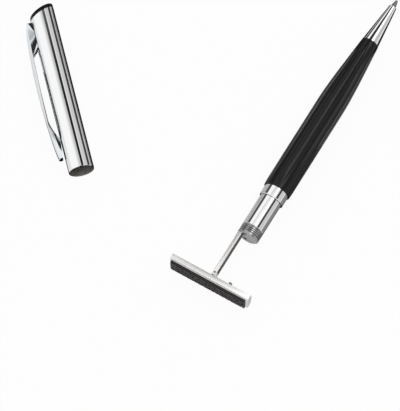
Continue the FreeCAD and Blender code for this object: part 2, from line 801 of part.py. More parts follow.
# The origin is under the middle of the whole row, on the table
row_box = Part.makeCompound(list(laid_pieces.values())).optimalBoundingBox(False)
row_origin = point(row_box.Center.x, row_box.Center.y, 0)
for name, shape in laid_pieces.items():
    shape.translate(-row_origin)
    shape.exportStep("parts/" + name + ".step")
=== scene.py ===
import json
import math

import bmesh
import bpy
from mathutils import Matrix, Vector


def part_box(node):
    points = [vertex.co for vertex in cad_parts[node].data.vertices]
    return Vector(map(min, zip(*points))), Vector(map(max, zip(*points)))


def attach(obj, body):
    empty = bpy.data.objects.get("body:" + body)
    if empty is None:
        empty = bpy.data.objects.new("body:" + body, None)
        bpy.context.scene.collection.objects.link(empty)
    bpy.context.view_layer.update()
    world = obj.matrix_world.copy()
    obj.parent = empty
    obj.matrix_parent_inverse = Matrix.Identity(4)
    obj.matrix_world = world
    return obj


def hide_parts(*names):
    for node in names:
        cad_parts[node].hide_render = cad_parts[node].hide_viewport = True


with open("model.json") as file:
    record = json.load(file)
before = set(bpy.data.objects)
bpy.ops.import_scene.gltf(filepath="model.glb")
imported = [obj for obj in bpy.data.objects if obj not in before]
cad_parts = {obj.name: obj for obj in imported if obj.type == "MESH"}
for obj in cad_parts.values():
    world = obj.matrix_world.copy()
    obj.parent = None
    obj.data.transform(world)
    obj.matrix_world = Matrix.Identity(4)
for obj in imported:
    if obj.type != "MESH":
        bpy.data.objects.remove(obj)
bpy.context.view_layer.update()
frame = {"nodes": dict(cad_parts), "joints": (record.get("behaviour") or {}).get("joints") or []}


# The point of the refill
# A hard metal ball turns in a drawn steel point, whose thin lip is crimped round it.
# The point is turned to a cone that fills the mouth of the nose cone when it is put out.
mm = 0.001


class Amount:
    """A number on its way through a finish. Sums and products add the Math nodes that they need."""

    def __init__(self, finish, socket):
        self.finish = finish
        self.socket = socket

    def __add__(self, other):
        return self.finish.maths("ADD", self, other)

    def __radd__(self, other):
        return self.finish.maths("ADD", other, self)

    def __mul__(self, other):
        return self.finish.maths("MULTIPLY", self, other)

    def __rmul__(self, other):
        return self.finish.maths("MULTIPLY", other, self)


class Finish:
    """A surface finish, mixed node by node."""

    def __init__(self, owner):
        owner.use_nodes = True
        self.owner = owner
        self.tree = owner.node_tree
        self.tree.nodes.clear()

    def node(self, kind, settings=None, inputs=None, output=0):
        """Adds a node: first its settings, then the numbers, colours and links of its sockets."""
        added = self.tree.nodes.new(kind)
        for name, value in (settings or {}).items():
            if name == "stops":
                while len(added.color_ramp.elements) < len(value):
                    added.color_ramp.elements.new(1)
                for element, (position, grey) in zip(added.color_ramp.elements, value):
                    element.position = position
                    element.color = (grey, grey, grey, 1)
            else:
                setattr(added, name, value)
        for name, value in (inputs or {}).items():
            if isinstance(value, Amount):
                self.tree.links.new(value.socket, added.inputs[name])
            else:
                added.inputs[name].default_value = value
        return Amount(self, added.outputs[output]) if added.outputs else added

    def maths(self, operation, first, second):
        return self.node("ShaderNodeMath", {"operation": operation}, {0: first, 1: second})

    def place(self, scale=(1, 1, 1)):
        """Object coordinates, stretched along the piece's own axes where the pattern needs it."""
        spot = self.node("ShaderNodeTexCoord", output="Object")
        return self.node("ShaderNodeMapping", None, {"Vector": spot, "Scale": scale})

    def noise(self, size, detail=3, place=None):
        """Soft blotches of a size, from 0 to 1."""
        return self.node("ShaderNodeTexNoise", None,
                         {"Vector": place or self.place(), "Scale": 1 / size, "Detail": detail})

    def ramp(self, amount, *stops):
        """Greys at stops of an amount, each stop a pair (amount, grey)."""
        return self.node("ShaderNodeValToRGB", {"stops": stops}, {"Fac": amount})

    def tint(self, amount, first, second):
        """A colour that goes from the first to the second."""
        factor, first_colour, second_colour, mixed_colour = 0, 6, 7, 2
        return self.node("ShaderNodeMix", {"data_type": "RGBA"},
                         {factor: amount, first_colour: (*first, 1), second_colour: (*second, 1)},
                         output=mixed_colour)

    def bump(self, height, depth, strength=1.0):
        return self.node("ShaderNodeBump", None,
                         {"Height": height, "Distance": depth, "Strength": strength})

    def surface(self, **inputs):
        """Ends the finish in one Principled shader."""
        sockets = {}
        for name, value in inputs.items():
            sockets[name.replace("_", " ").title().replace("Ior", "IOR")] = value
        shader = self.node("ShaderNodeBsdfPrincipled", None, sockets)
        self.node("ShaderNodeOutputMaterial", None, {"Surface": shader})
        return self.owner


def new_finish(name):
    return Finish(bpy.data.materials.new(name))


def coat(node_name, material):
    """Gives a part of the solid model its finish."""
    solid = frame["nodes"][node_name]
    solid.data.materials.clear()
    solid.data.materials.append(material)


def turned_steel(name, grey, roughness):
    """Steel from the lathe: rings too fine to see singly, crossed by small rubbed patches."""
    finish = new_finish(name)
    rubbed = finish.noise(4 * mm)
    rings = finish.noise(0.12 * mm, detail=2)
    dull = (grey * 0.93, grey * 0.93, grey * 0.94)
    bright = (grey * 1.07, grey * 1.06, grey * 1.05)
    return finish.surface(base_color=finish.tint(rubbed, dull, bright), metallic=1.0,
                          roughness=rubbed * 0.08 + roughness,
                          normal=finish.bump(rings, depth=0.001 * mm, strength=0.4))


point_steel = turned_steel("point steel", grey=0.24, roughness=0.3)
coat("tip_ball", turned_steel("ball metal", grey=0.3, roughness=0.14))
coat("refill_tip", point_steel)


# The tube of the refill
# A drawn brass tube holds the ink. A white collar near the point takes the return spring,
# and a white plug closes the end; both are moulded and pushed in.
def drawn_metal(name, colour, roughness):
    """Drawn or turned metal with faint marks and a few darker, tarnished clouds."""
    finish = new_finish(name)
    clouds = finish.noise(3 * mm, detail=5)
    marks = finish.noise(0.25 * mm, detail=2)
    dull = tuple(channel * 0.82 for channel in colour)
    return finish.surface(base_color=finish.tint(clouds, dull, colour), metallic=1.0,
                          roughness=clouds * 0.15 + roughness,
                          normal=finish.bump(marks, depth=0.006 * mm, strength=0.4))


def moulded_plastic(name, colour, roughness):
    """Moulded plastic with the even, slightly grained skin of a spark-eroded mould."""
    finish = new_finish(name)
    grain = finish.noise(0.18 * mm)
    clouds = finish.noise(4 * mm, detail=2)
    pale = tuple(channel * 1.12 for channel in colour)
    return finish.surface(base_color=finish.tint(clouds, colour, pale), roughness=grain * 0.12 + roughness,
                          normal=finish.bump(grain, depth=0.01 * mm, strength=0.5))


brass = drawn_metal("drawn brass", (0.72, 0.55, 0.27), roughness=0.22)
white_plastic = moulded_plastic("white moulding", (0.72, 0.72, 0.70), roughness=0.35)
black_plastic = moulded_plastic("black moulding", (0.028, 0.028, 0.028), roughness=0.42)
spring_steel = drawn_metal("spring steel", (0.42, 0.42, 0.43), roughness=0.2)
coat("refill_tube", brass)
coat("refill_collar", white_plastic)
coat("refill_plug", white_plastic)
coat("return_spring", spring_steel)


# The nose cone
# Turned brass, bored for the refill's point and its spring, threaded behind and chrome plated.
# It screws into the bush in the barrel, and its mouth has a small turned chamfer.
joints = {joint["name"]: joint for joint in frame["joints"]}
twist = joints["twist"]
# Pieces of the pen are made upright, with heights counted from the ball, and pen_place lays
# them down. The twist joint stands at a known height, which fixes the rest.
twist_height = 88.8 * mm
pen_along = -Vector(twist["axis"])
pen_up = Vector(joints["stamp_fold"]["axis"])
pen_across = pen_up.cross(pen_along)
pen_axes = Matrix((pen_across, pen_up, pen_along)).transposed().to_4x4()
pen_place = Matrix.Translation(Vector(twist["pos_m"]) - pen_along * twist_height) @ pen_axes


def pick_alone(piece):
    """Leaves nothing selected but this piece."""
    bpy.ops.object.select_all(action="DESELECT")
    piece.select_set(True)
    bpy.context.view_layer.objects.active = piece


def turn_up(name, outline, sides=128):
    """Turns a piece on end: a circle is pulled up and scaled, step by step, and closed.

    Each step of the outline is a pair (radius, height) in mm.
    """
    bpy.ops.object.select_all(action="DESELECT")
    radius, height = outline[0]
    bpy.ops.mesh.primitive_circle_add(vertices=sides, radius=radius * mm, location=(0, 0, height * mm))
    piece = bpy.context.object
    piece.name = name
    bpy.ops.object.transform_apply(location=True, rotation=True, scale=True)
    bpy.ops.object.mode_set(mode="EDIT")
    bpy.ops.mesh.select_all(action="SELECT")
    for next_radius, next_height in outline[1:]:
        bpy.ops.mesh.extrude_edges_move(
            TRANSFORM_OT_translate={"value": (0, 0, (next_height - height) * mm)})
        if next_radius != radius:
            share = next_radius / radius
            bpy.ops.transform.resize(value=(share, share, 1), center_override=(0, 0, next_height * mm))
        radius, height = next_radius, next_height
    bpy.ops.mesh.select_all(action="SELECT")
    bpy.ops.mesh.remove_doubles(threshold=0.002 * mm)
    bpy.ops.mesh.normals_make_consistent(inside=False)
    bpy.ops.object.mode_set(mode="OBJECT")
    return piece


def finish_piece(piece, place, body, material, replaced=(), edge=0, sharp=35):
    """Breaks the sharp edges, smooths what is round, lays the piece in its place and hands it over."""
    pick_alone(piece)
    if edge:
        bpy.ops.object.modifier_add(type="BEVEL")
        bevel = piece.modifiers[-1]
        bevel.width = edge * mm
        bevel.segments = 2
        bevel.limit_method = "ANGLE"
        bevel.angle_limit = math.radians(sharp)
        bpy.ops.object.modifier_apply(modifier=bevel.name)
    piece.matrix_world = place
    bpy.ops.object.transform_apply(location=True, rotation=True, scale=True)
    bpy.ops.object.shade_smooth_by_angle(angle=math.radians(sharp))
    piece.data.materials.clear()
    piece.data.materials.append(material)
    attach(piece, body)
    if replaced:
        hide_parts(*replaced)


chrome_finish = new_finish("chrome plating")
handled = chrome_finish.noise(4 * mm, detail=4)
hairlines = chrome_finish.noise(0.4 * mm, detail=2, place=chrome_finish.place(scale=(6, 6, 0.4)))
chrome = chrome_finish.surface(
    base_color=chrome_finish.tint(handled, (0.90, 0.905, 0.915), (0.95, 0.95, 0.955)), metallic=1.0,
    roughness=handled * 0.04 + 0.03,
    normal=chrome_finish.bump(hairlines, depth=0.0005 * mm, strength=0.2))

point_bore, spring_bore, thread_radius, mouth_rim, shoulder_radius = 1.10, 1.95, 2.40, 1.27, 3.03
mouth, bore_step, cone_end, thread_end = 3.0, 12.5, 19.3, 26.3
cone_swell = [(1.40, 3.14), (1.95, 8.2), (2.53, 13.7), (3.11, 19.2)]
nose_outline = [(point_bore, mouth), (mouth_rim, mouth)] + cone_swell
nose_outline += [(shoulder_radius, cone_end), (thread_radius, cone_end), (thread_radius, thread_end),
                 (spring_bore, thread_end), (spring_bore, bore_step), (point_bore, bore_step),
                 (point_bore, mouth)]
nose_cone = turn_up("chrome_nose_cone", nose_outline)
finish_piece(nose_cone, pen_place, "barrel", chrome, ["nose_cone"])
coat("thread_bush", brass)


# The barrel
# Brass, turned to a long taper, with eighteen flutes milled by a round cutter that runs out
# before both ends. It is lacquered black, and the lacquer is polished along the ridges.
flutes, sides_per_flute, flute_depth = 18, 12, 0.19
flute_starts, flute_full, flute_leaves, flute_stops = 22.2, 34.0, 72.0, 83.2
taper = [(19.3, 3.18), (25.0, 3.70), (31.0, 4.19), (36.0, 4.58), (40.1, 4.84), (43.2, 5.01),
         (46.3, 5.09), (50.0, 5.10), (82.5, 5.10), (83.6, 5.06), (84.5, 4.98), (84.7, 4.93)]


def barrel_radius(height):
    """The taper of the barrel in mm: nearly straight at first, then easing into the cylinder."""
    for (low, low_radius), (high, high_radius) in zip(taper, taper[1:]):
        if height <= high:
            return low_radius + (high_radius - low_radius) * (height - low) / (high - low)


def flute_share(height):
    """How much of the full depth the cutter has reached: it runs in and out on a slope."""
    rising = (height - flute_starts) / (flute_full - flute_starts)
    falling = (flute_stops - height) / (flute_stops - flute_leaves)
    share = max(0.0, min(1.0, rising, falling))
    return math.sin(share * math.pi / 2)


bush_bore, works_bore, band_bore, least_outside = 2.75, 3.5, 4.0, 3.05
works_start, band_seat = 55.3, 80.8
ring_heights = [19.3, 19.45, 20.5, 21.6, 22.2, 22.8, 23.6, 24.6, 26.0, 28.0, 30.0, 32.0, 34.0, 36.0, 38.0,
                40.1, 41.6, 43.2, 44.8, 46.3, 48.0, 50.0, 55.0, 60.0, 66.0, 72.0, 74.0, 76.0, 78.0, 79.5,
                80.7, 81.6, 82.3, 82.8, 83.2, 83.6, 84.2, 84.5, 84.7]
barrel_front, barrel_back = ring_heights[0], ring_heights[-1]
barrel_outline = [(bush_bore, barrel_front)] + [(barrel_radius(height), height) for height in ring_heights]
barrel_outline += [(band_bore, barrel_back), (band_bore, band_seat), (works_bore, band_seat),
                   (works_bore, works_start), (bush_bore, works_start), (bush_bore, barrel_front)]
barrel = turn_up("fluted_barrel", barrel_outline, sides=flutes * sides_per_flute)
bpy.ops.object.mode_set(mode="EDIT")
barrel_mesh = bmesh.from_edit_mesh(barrel.data)
flute_pitch = 2 * math.pi / flutes
for height in ring_heights:
    depth_here = flute_depth * flute_share(height)
    ring = [vertex for vertex in barrel_mesh.verts
            if abs(vertex.co.z - height * mm) < 0.01 * mm and vertex.co.xy.length > least_outside * mm]
    for step in range(sides_per_flute // 2):
        offset = step / (sides_per_flute / 2)
        depth = depth_here - flute_depth * offset ** 2
        if depth <= 0:
            continue
        for vertex in barrel_mesh.verts:
            vertex.select = False
        for vertex in ring:
            turns = math.atan2(vertex.co.y, vertex.co.x) / flute_pitch
            vertex.select = abs(abs(turns - round(turns)) * 2 - offset) < 0.01
        bpy.ops.mesh.select_mode(type="VERT")
        share = 1 - depth / barrel_radius(height)
        bpy.ops.transform.resize(value=(share, share, 1), center_override=(0, 0, height * mm))
bpy.ops.object.mode_set(mode="OBJECT")

lacquer_finish = new_finish("black lacquer")
film = lacquer_finish.noise(0.3 * mm)
wiped = lacquer_finish.noise(6 * mm)
black_lacquer = lacquer_finish.surface(
    base_color=lacquer_finish.tint(wiped, (0.0045, 0.0043, 0.0045), (0.009, 0.0086, 0.0086)),
    roughness=wiped * 0.08 + 0.24, specular_ior_level=0.29,
    normal=lacquer_finish.bump(film, depth=0.003 * mm, strength=0.3))
finish_piece(barrel, pen_place, "barrel", black_lacquer, ["barrel"], sharp=40)


# The twist mechanism
# A slider with a steel cross pin rides in the straight slots of a fixed brass sleeve. The cam
# tube's two helical slots push that pin along, and an open spring ring keeps the cam in place.
coat("guide_sleeve", brass)
coat("rotor", brass)
coat("plunger", black_plastic)
coat("follower_pin", spring_steel)
coat("retaining_ring", spring_steel)


# The band
# A plain ring of turned brass, chrome plated. Its spigot is pressed into the barrel's end,
# and its bore is the bearing in which the stamp's half of the pen turns.
bearing_radius, spigot_radius, band_radius = 3.5, 4.0, 4.5
spigot_start, rim_start, band_end = 81.7, 84.75, 88.7
front_chamfer, back_chamfer = 0.12, 0.1
band_outline = [(bearing_radius, spigot_start), (spigot_radius, spigot_start), (spigot_radius, rim_start),
                (band_radius - front_chamfer, rim_start), (band_radius, rim_start + front_chamfer),
                (band_radius, band_end - back_chamfer), (band_radius - back_chamfer, band_end),
                (bearing_radius, band_end), (bearing_radius, spigot_start)]
band = turn_up("chrome_band", band_outline)
finish_piece(band, pen_place, "barrel", chrome, ["band"])


# The coupler
# The chrome tube behind the band: the cap slides over it, and it is turned by hand to put
# the point out. Its narrow stub turns in the band, and the collar is pressed into its bore.
stub_bore, stub_radius, coupler_bore, coupler_radius, coupler_chamfer = 2.9, 3.45, 3.42, 4.0, 0.1
stub_start, coupler_start, coupler_floor, coupler_end = 84.8, 88.8, 89.8, 101.1
coupler_outline = [(stub_bore, stub_start), (stub_radius, stub_start), (stub_radius, coupler_start),
                   (coupler_radius - coupler_chamfer, coupler_start),
                   (coupler_radius, coupler_start + coupler_chamfer),
                   (coupler_radius, coupler_end - coupler_chamfer),
                   (coupler_radius - coupler_chamfer, coupler_end), (coupler_bore, coupler_end),
                   (coupler_bore, coupler_floor), (stub_bore, coupler_floor), (stub_bore, stub_start)]
coupler = turn_up("chrome_coupler", coupler_outline)
finish_piece(coupler, pen_place, "stamp_unit", chrome, ["coupler_tube"])


# The ring between coupler and collar
# A thin ring of spring steel, rolled round, in the groove that the two pieces leave between
# them. The cap's mouth grips it.
ring_radius, ring_middle, wire_radius, wire_sides = 3.78, 101.4, 0.24, 12
ring_outline = []
for step in range(wire_sides + 1):
    turn = step * 2 * math.pi / wire_sides
    step_out, step_up = wire_radius * math.cos(turn), wire_radius * math.sin(turn)
    ring_outline.append((ring_radius + step_out, ring_middle + step_up))
grip_ring = turn_up("cap_grip_ring", ring_outline, sides=96)
finish_piece(grip_ring, pen_place, "stamp_unit", spring_steel)


# The collar
# Turned steel, left bright, with three square grooves for the cap to hold; their floors are
# painted near black as shade. The end disc lies in its recess, and the stem's root goes through both.
root_hole, recess_radius, seat_radius, land_radius, lip_radius = 2.6, 3.58, 3.7, 4.02, 4.03
collar_root, lands_start, disc_back, collar_end = 98.1, 101.7, 103.8, 104.6
grooves, land_width, groove_width, groove_floor, eased = 3, 0.44, 0.26, 3.84, 0.05
collar_outline = [(root_hole, collar_root), (coupler_bore, collar_root), (coupler_bore, coupler_end),
                  (seat_radius, coupler_end), (seat_radius, lands_start),
                  (land_radius - 0.09, lands_start), (land_radius - 0.01, lands_start + 0.08)]
height = lands_start + 0.08
for groove in range(grooves):
    height += land_width
    collar_outline += [(land_radius, height - eased), (land_radius - eased, height),
                       (groove_floor, height + 0.02), (groove_floor, height + groove_width - 0.02),
                       (land_radius - eased, height + groove_width)]
    height += groove_width
collar_outline += [(lip_radius - 0.03, height + eased), (lip_radius, height + 0.12),
                   (lip_radius, collar_end - 0.22), (lip_radius - 0.05, collar_end - 0.07),
                   (lip_radius - 0.15, collar_end), (recess_radius + 0.04, collar_end),
                   (recess_radius, collar_end - 0.04), (recess_radius, disc_back),
                   (root_hole, disc_back), (root_hole, collar_root)]
collar = turn_up("ridged_collar_ring", collar_outline)
shaded_groove_faces = [face.index for face in collar.data.polygons
                if abs(face.center.xy.length / mm - groove_floor) < 0.04
                and lands_start + eased < face.center.z / mm < collar_end - eased]


def finish_faces(piece, faces, material):
    """Gives some faces of a piece a second finish."""
    piece.data.materials.append(material)
    for face in faces:
        piece.data.polygons[face].material_index = 1


collar_steel = turned_steel("collar steel", grey=0.46, roughness=0.24)
finish_piece(collar, pen_place, "stamp_unit", collar_steel, ["ridged_collar"], sharp=25)
# The groove floors get a near-black finish: painted shade in the grooves.
finish_faces(collar, shaded_groove_faces, turned_steel("painted groove shade", grey=0.05, roughness=0.5))


# The end disc
# A turned steel disc with its face left satin from the tool. It has a slot for the stem and
# a small blind hole for the pin of the spanner that takes the stamp out; its inside is painted near black
# as shade.
def cut_away(piece, cutter):
    """Cuts one solid out of another, and throws the cutter away."""
    pick_alone(piece)
    bpy.ops.object.modifier_add(type="BOOLEAN")
    cut = piece.modifiers[-1]
    cut.operation = "DIFFERENCE"
    cut.solver = "EXACT"
    cut.object = cutter
    bpy.ops.object.modifier_apply(modifier=cut.name)
    bpy.data.objects.remove(cutter)


def block(low, high):
    """A block between two corners in mm."""
    bpy.ops.object.select_all(action="DESELECT")
    middle = [(a + b) / 2 * mm for a, b in zip(low, high)]
    size = [(b - a) * mm for a, b in zip(low, high)]
    bpy.ops.mesh.primitive_cube_add(size=1, location=middle, scale=size)
    bpy.ops.object.transform_apply(location=True, rotation=True, scale=True)
    return bpy.context.object


disc_face, disc_eye = 104.95, 0.02
disc_outline = [(disc_eye, disc_back), (recess_radius, disc_back), (recess_radius, disc_face - 0.22),
                (recess_radius - 0.06, disc_face - 0.08), (recess_radius - 0.22, disc_face),
                (disc_eye, disc_face)]
disc = turn_up("satin_end_disc", disc_outline, sides=96)
bpy.ops.object.mode_set(mode="EDIT")
bpy.ops.mesh.select_mode(type="EDGE")
bpy.ops.mesh.select_all(action="DESELECT")
bpy.ops.mesh.select_non_manifold()
bpy.ops.mesh.fill_holes(sides=0)
bpy.ops.mesh.select_all(action="SELECT")
bpy.ops.mesh.normals_make_consistent(inside=False)
bpy.ops.object.mode_set(mode="OBJECT")

slot_back, slot_front, slot_half = -3.0, -2.1, 1.5
cut_away(disc, block((slot_back, -slot_half, disc_back - 1), (slot_front, slot_half, disc_face + 1)))
hole_radius, hole_x, hole_y, hole_floor, drill_length = 0.68, -0.8, -1.3, 104.0, 2
bpy.ops.object.select_all(action="DESELECT")
bpy.ops.mesh.primitive_cylinder_add(
    vertices=32, radius=hole_radius * mm, depth=drill_length * mm,
    location=(hole_x * mm, hole_y * mm, (hole_floor + drill_length / 2) * mm))
cut_away(disc, bpy.context.object)
shaded_hole_faces = [face.index for face in disc.data.polygons
              if (face.center.xy / mm - Vector((hole_x, hole_y))).length < hole_radius + 0.02
              and face.center.z < (disc_face - 0.01) * mm]

face_finish = new_finish("faced steel")
scuffed = face_finish.noise(4 * mm)
tool_rings = face_finish.noise(0.15 * mm, detail=2)
faced_steel = face_finish.surface(
    base_color=face_finish.tint(scuffed, (0.44, 0.44, 0.445), (0.54, 0.535, 0.535)), metallic=0.9,
    roughness=scuffed * 0.1 + 0.34, normal=face_finish.bump(tool_rings, depth=0.001 * mm, strength=0.4))
finish_piece(disc, pen_place, "stamp_unit", faced_steel, ["end_disc"])
# The hole's walls and floor get a near-black finish: painted shade inside the hole.
finish_faces(disc, shaded_hole_faces, moulded_plastic("painted hole shade", (0.006, 0.006, 0.007), roughness=0.6))


# The stem and its leaf spring
# A bar of light metal, round behind and channelled in front, that forks round the hinge pin.
# The channel is milled; it and the stem's side that faces across the pen are painted dark as shade. A leaf
# of spring steel in the channel holds the stamp open or folded.
def eased_copy(node_name, name, edge, body, material):
    """A copy of a solid with its sharp edges taken off, in the solid's place."""
    piece = bpy.data.objects.new(name, frame["nodes"][node_name].data.copy())
    bpy.context.collection.objects.link(piece)
    pick_alone(piece)
    bpy.ops.object.mode_set(mode="EDIT")
    bpy.ops.mesh.select_all(action="SELECT")
    bpy.ops.mesh.remove_doubles(threshold=0.002 * mm)
    bpy.ops.mesh.dissolve_limited(angle_limit=math.radians(0.6))
    bpy.ops.object.mode_set(mode="OBJECT")
    finish_piece(piece, Matrix.Identity(4), body, material, [node_name], edge)
    return piece


alloy_finish = new_finish("satin light metal")
grain = alloy_finish.noise(0.22 * mm)
clouded = alloy_finish.noise(5 * mm)
light_alloy = alloy_finish.surface(
    base_color=alloy_finish.tint(clouded, (0.87, 0.862, 0.855), (0.93, 0.923, 0.916)), metallic=0.85,
    roughness=clouded * 0.08 + 0.30, normal=alloy_finish.bump(grain, depth=0.001 * mm, strength=0.3))
shaded_side_finish = new_finish("light metal painted with shade")
mill_marks = shaded_side_finish.noise(0.25 * mm)
oil = shaded_side_finish.noise(4 * mm)
shaded_side_alloy = shaded_side_finish.surface(
    base_color=shaded_side_finish.tint(oil, (0.085, 0.07, 0.066), (0.25, 0.225, 0.22)), metallic=0.3,
    roughness=oil * 0.1 + 0.5, specular_ior_level=0.2,
    normal=shaded_side_finish.bump(mill_marks, depth=0.01 * mm, strength=0.5))
stem = eased_copy("stem", "channelled_stem", 0.05, "stamp_unit", light_alloy)
channel_half, channel_start = 1.28, 105.2
# The channel and the side that faces across the pen get a dark finish: painted shade.
shaded_stem_faces = []
for face in stem.data.polygons:
    spot = pen_place.inverted() @ face.center / mm
    facing = face.normal.dot(pen_across)
    in_channel = abs(spot.y) < channel_half and spot.z > channel_start and facing > -0.5
    if facing > 0.9 or in_channel:
        shaded_stem_faces.append(face.index)
finish_faces(stem, shaded_stem_faces, shaded_side_alloy)
# The leaf is dark tempered steel, and its grey is made darker still as painted shade in the channel.
coat("leaf_spring", drawn_metal("tempered leaf steel with painted shade", (0.24, 0.23, 0.225), roughness=0.45))
coat("hinge_pin", spring_steel)


# The stamp plate and its stop peg
# A light metal extrusion, flat in front and crowned behind, sawn off and polished. A steel
# peg is driven into its back and meets the leaf spring when the stamp is folded.
plate = eased_copy("stamp_plate", "crowned_stamp_plate", 0.08, "stamp", light_alloy)
# The plate's two end faces get a darker grey metal: painted shade, as on faces turned from the light.
smallest_end_face = 2 * mm ** 2
shaded_end_faces = [face.index for face in plate.data.polygons
              if abs(face.normal.dot(pen_across)) > 0.98 and face.area > smallest_end_face]
finish_faces(plate, shaded_end_faces, drawn_metal("plate ends painted with shade", (0.66, 0.655, 0.65), roughness=0.34))
coat("stop_peg", point_steel)


# The rubber die
# Thin foam with adhesive on both sides holds a sheet of dark rubber to the plate. Short raised
# bars in four rows stand for lines of text; they are left plain.
foam_finish = new_finish("foam backing")
cells = foam_finish.noise(0.15 * mm, detail=2)
foam = foam_finish.surface(base_color=foam_finish.tint(cells, (0.62, 0.61, 0.59), (0.78, 0.77, 0.75)),
                           roughness=0.9, normal=foam_finish.bump(cells, depth=0.04 * mm))
coat("die_backing", foam)
rubber_finish = new_finish("stamp rubber")
dust = rubber_finish.noise(0.6 * mm, detail=5)
rubber = rubber_finish.surface(
    base_color=rubber_finish.tint(dust, (0.012, 0.010, 0.011), (0.034, 0.029, 0.031)),
    roughness=dust * 0.2 + 0.5, specular_ior_level=0.3,
    normal=rubber_finish.bump(dust, depth=0.02 * mm, strength=0.6))
worn_finish = new_finish("worn rubber")
smear = worn_finish.noise(0.8 * mm, detail=5)
worn_rubber = worn_finish.surface(
    base_color=worn_finish.tint(smear, (0.03, 0.026, 0.027), (0.10, 0.088, 0.09)),
    roughness=smear * 0.2 + 0.45, specular_ior_level=0.3)

die_left, die_right, die_half, die_back, die_front = -17.65, 11.65, 3.12, 126.25, 127.25
sheet_thickness, bar_root = 0.74, 0.1
rows, row_pitch, row_inset, bar_width, bar_gap = 4, 1.5, 0.5, 0.86, 0.34
bar_lengths, bars_skipped = (1.1, 2.3, 1.6, 2.9, 0.9, 1.9, 2.6, 1.3), 3
sheet_front = die_back + sheet_thickness
die = block((die_left, -die_half, die_back), (die_right, die_half, sheet_front))
bars = [die]
for row in range(rows):
    middle = (row - (rows - 1) / 2) * row_pitch
    bar_number = row * bars_skipped
    left = die_left + row_inset
    right = left + bar_lengths[bar_number % len(bar_lengths)]
    while right <= die_right - row_inset:
        bars.append(block((left, middle - bar_width / 2, sheet_front - bar_root),
                          (right, middle + bar_width / 2, die_front)))
        bar_number += 1
        left = right + bar_gap
        right = left + bar_lengths[bar_number % len(bar_lengths)]
pick_alone(die)
for bar in bars:
    bar.select_set(True)
bpy.ops.object.join()
die.name = "rubber_die_in_rows"
finish_piece(die, pen_place, "stamp", rubber, ["text_die"], edge=0.05)
inked_faces = [face.index for face in die.data.polygons
               if (pen_place.inverted() @ face.center / mm).z > die_front - 0.02]
finish_faces(die, inked_faces, worn_rubber)


# The cap's tube
# Drawn brass tube, cut off at a slant at its closed end and chrome plated. Its bore, plated
# thin, stays satin; the mouth slides over the coupler up to the band.
cap_radius, cap_bore, cap_inside, bore_depth, uncut_length = 4.51, 4.08, 4.25, 16.0, 70
bore_chamfer, mouth_chamfer = 0.06, 0.08
cap_slant, cap_middle = math.radians(21), 61.2
slant_up = Vector((-math.sin(cap_slant), 0, math.cos(cap_slant)))
slant_middle = Vector((0, 0, cap_middle))
# The cap is made upright too, with heights counted from its mouth, and cap_place lays it down.
tube_low, tube_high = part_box("cap_tube")
cap_place = Matrix.Translation(((tube_low.x + tube_high.x) / 2, tube_low.y, (tube_low.z + tube_high.z) / 2))
cap_place = cap_place @ Matrix.Rotation(math.radians(-90), 4, "X")
tube_outline = [(cap_bore + bore_chamfer, 0), (cap_radius - mouth_chamfer, 0), (cap_radius, mouth_chamfer),
                (cap_radius, uncut_length), (cap_inside, uncut_length), (cap_inside, bore_depth),
                (cap_bore, bore_depth), (cap_bore, bore_chamfer), (cap_bore + bore_chamfer, 0)]
tube = turn_up("slanted_cap_tube", tube_outline, sides=144)
pick_alone(tube)
bpy.ops.object.mode_set(mode="EDIT")
bpy.ops.mesh.select_mode(type="EDGE")
bpy.ops.mesh.select_all(action="SELECT")
bpy.ops.mesh.bisect(plane_co=slant_middle * mm, plane_no=slant_up, clear_outer=True)
bpy.ops.mesh.select_all(action="DESELECT")
bpy.ops.mesh.select_non_manifold()
bpy.ops.mesh.bridge_edge_loops()
bpy.ops.object.mode_set(mode="OBJECT")
bore_faces = [face.index for face in tube.data.polygons if face.center.xy.length < (cap_inside + 0.02) * mm]
finish_piece(tube, cap_place, "cap", chrome, ["cap_tube"])
finish_faces(tube, bore_faces, drawn_metal("satin bore", (0.62, 0.61, 0.58), roughness=0.42))
coat("cap_plug", black_plastic)


# The insert on the cap's end
# Glossy black plastic, moulded as a low dome that follows the slanted end, with a straight
# edge below it. It is pressed into the tube.
gloss_finish = new_finish("gloss black insert")
specks = gloss_finish.noise(3 * mm, detail=4)
gloss_black = gloss_finish.surface(
    base_color=gloss_finish.tint(specks, (0.006, 0.006, 0.007), (0.012, 0.012, 0.013)),
    roughness=specks * 0.05 + 0.12, specular_ior_level=0.1)
insert_radius, insert_edge, uncut_insert, rim_round = 4.47, 1.5, 16, 0.4
crown_rings, crown_ring_width, crown_step = 4, 0.9, 0.04


def faces_turned_to(piece, direction):
    """Selects the faces that look in one direction."""
    bpy.ops.mesh.select_mode(type="FACE")
    bpy.ops.mesh.select_all(action="DESELECT")
    bpy.ops.object.mode_set(mode="OBJECT")
    for face in piece.data.polygons:
        face.select = face.normal.dot(direction) > 0.999
    bpy.ops.object.mode_set(mode="EDIT")


bpy.ops.object.select_all(action="DESELECT")
bpy.ops.mesh.primitive_cylinder_add(vertices=96, radius=insert_radius * mm, depth=uncut_insert * mm,
                                    location=slant_middle * mm)
insert = bpy.context.object
insert.name = "domed_insert"
bpy.ops.object.transform_apply(location=True, rotation=True, scale=True)
bpy.ops.object.mode_set(mode="EDIT")
bpy.ops.mesh.select_all(action="SELECT")
bpy.ops.mesh.bisect(plane_co=slant_middle * mm, plane_no=slant_up, clear_inner=True, use_fill=True)
bpy.ops.mesh.select_all(action="SELECT")
bpy.ops.mesh.bisect(plane_co=(slant_middle + slant_up * insert_edge) * mm, plane_no=slant_up,
                    clear_outer=True, use_fill=True)
faces_turned_to(insert, slant_up)
bpy.ops.mesh.bevel(offset=rim_round * mm, segments=5, affect="EDGES")
faces_turned_to(insert, slant_up)
for ring in range(crown_rings):
    bpy.ops.mesh.inset(thickness=crown_ring_width * mm, depth=crown_step * mm)
bpy.ops.object.mode_set(mode="OBJECT")
finish_piece(insert, cap_place, "cap", gloss_black, ["top_insert"])


